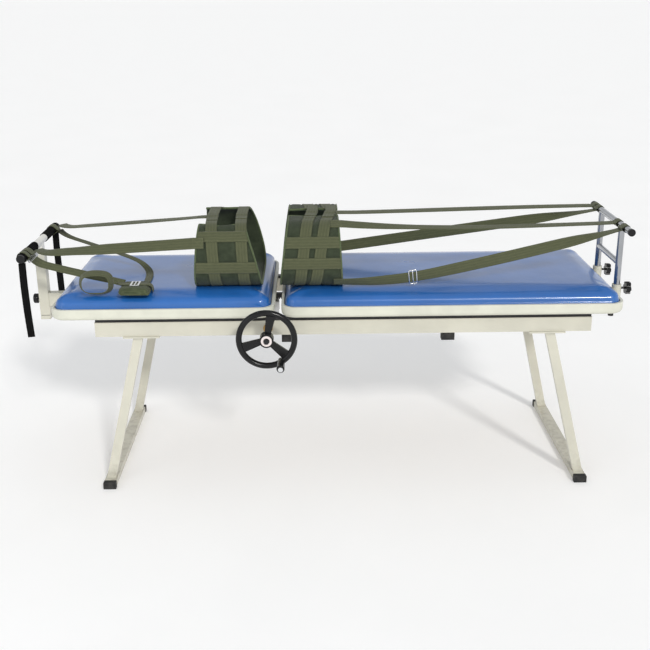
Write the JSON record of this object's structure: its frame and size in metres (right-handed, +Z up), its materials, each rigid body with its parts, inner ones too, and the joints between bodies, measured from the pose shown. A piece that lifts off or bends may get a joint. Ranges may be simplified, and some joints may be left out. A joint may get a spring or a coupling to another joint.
{
  "type": "traction couch",
  "caption": "Manual cervical and lumbar traction couch with a sliding leg half, handwheel drive, height-set head mast and foot frame, and webbing harness.",
  "frame": {"origin": "on the floor, under the middle of the couch's bounding box", "axes": "+X from the head end to the foot end, +Y from the handwheel side to the far side, +Z up"},
  "size_m": [2.097, 0.7976, 0.9073],
  "materials": {
    "cream_paint": "satin cream enamel",
    "white_paint": "gloss white enamel",
    "tray_plastic": "moulded cream plastic",
    "black_plastic": "moulded black plastic",
    "black_rubber": "matt black rubber",
    "black_nylon": "black nylon",
    "white_plastic": "white plastic ring",
    "blue_vinyl": "glossy blue upholstery vinyl",
    "olive_webbing": "olive green webbing",
    "olive_padding": "olive green padded webbing",
    "black_webbing": "black webbing",
    "chrome": "bright chrome plate",
    "black_steel": "black oxide steel",
    "steel": "machined steel",
    "bronze": "bearing bronze",
    "board": "plywood"
  },
  "bodies": {
    "base": {"bearing_blocks": "steel", "chest_straps": "olive_webbing", "chest_vest": "olive_padding", "cross_tubes": "cream_paint", "floor_bar_caps": "black_rubber", "floor_bars": "cream_paint", "front_rail": "cream_paint", "halter_loop": "olive_webbing", "halter_pad": "olive_padding", "halter_straps": "olive_webbing", "head_board": "board", "head_cushion": "blue_vinyl", "head_harness_buckles": "chrome", "head_spacers": "black_steel", "head_tray": "tray_plastic", "leg_bolts": "steel", "leg_nuts": "steel", "leg_plates": "cream_paint", "leg_tubes": "cream_paint", "mast_arm": "cream_paint", "mast_foot": "cream_paint", "mast_gasket": "black_rubber", "mast_socket": "cream_paint", "rear_rail": "cream_paint", "shaft_bush": "bronze", "slide_strips": "black_nylon"},
    "leg_section": {"leg_tray": "tray_plastic", "tray_bumpers": "black_rubber", "leg_board": "board", "leg_cushion": "blue_vinyl", "leg_runners": "black_steel", "keeper_hangers": "black_steel", "keeper_blocks": "black_rubber", "drive_rack": "steel", "foot_sockets": "cream_paint", "pelvic_belt": "olive_padding", "belt_buckles": "chrome", "belt_straps": "olive_webbing"},
    "handwheel": {"handwheel": "black_plastic", "drive_shaft": "steel", "drive_pinion": "steel", "hub_ring": "white_plastic", "hub_nut": "black_steel", "crank_pin": "chrome", "shaft_collar": "steel"},
    "crank_knob": {"crank_knob": "black_plastic"},
    "mast_slide": {"mast_tube": "white_paint", "head_bar": "white_paint", "head_bar_wraps": "black_webbing", "head_bar_caps": "black_plastic", "head_bar_loops": "olive_webbing", "wrap_tail_front": "black_webbing", "wrap_tail_rear": "black_webbing"},
    "mast_lock_knob": {"mast_lock_knob": "black_plastic"},
    "foot_frame": {"foot_bar": "chrome", "foot_ladder": "chrome", "foot_bar_caps": "black_plastic", "foot_bar_loops": "olive_webbing"},
    "star_knob_front": {"star_knob_front": "black_plastic"},
    "star_knob_rear": {"star_knob_rear": "black_plastic"}
  },
  "joints": [
    {"name": "leg_slide", "type": "slide", "parent": "base", "child": "leg_section", "axis": [1, 0, 0], "range_m": [0, 0.15]},
    {"name": "handwheel_turn", "type": "hinge", "parent": "base", "child": "handwheel", "pos_m": [-0.2025, 0.0588, 0.557], "axis": [0, 1, 0], "range_deg": [0, 400]},
    {"name": "crank_spin", "type": "hinge", "parent": "handwheel", "child": "crank_knob", "pos_m": [-0.1575, -0.3262, 0.47906], "axis": [0, 1, 0], "continuous": true},
    {"name": "mast_height", "type": "slide", "parent": "base", "child": "mast_slide", "axis": [0, 0, 1], "range_m": [-0.03, 0.08], "deforming": ["chest_straps", "halter_straps"]},
    {"name": "mast_lock_turn", "type": "hinge", "parent": "base", "child": "mast_lock_knob", "pos_m": [-1.0275, 0.0588, 0.589], "axis": [-1, 0, 0], "range_deg": [0, 360]},
    {"name": "foot_frame_height", "type": "slide", "parent": "leg_section", "child": "foot_frame", "axis": [0, 0, 1], "range_m": [-0.03, 0.05], "deforming": ["belt_straps"]},
    {"name": "star_knob_front_turn", "type": "hinge", "parent": "leg_section", "child": "star_knob_front", "pos_m": [1.0225, -0.0622, 0.638], "axis": [1, 0, 0], "range_deg": [0, 360]},
    {"name": "star_knob_rear_turn", "type": "hinge", "parent": "leg_section", "child": "star_knob_rear", "pos_m": [1.0225, 0.1798, 0.638], "axis": [1, 0, 0], "range_deg": [0, 360]}
  ],
  "couplings": [
    {"joint": "handwheel_turn", "follows": "leg_slide", "rad_per_m": 44.444}
  ]
}
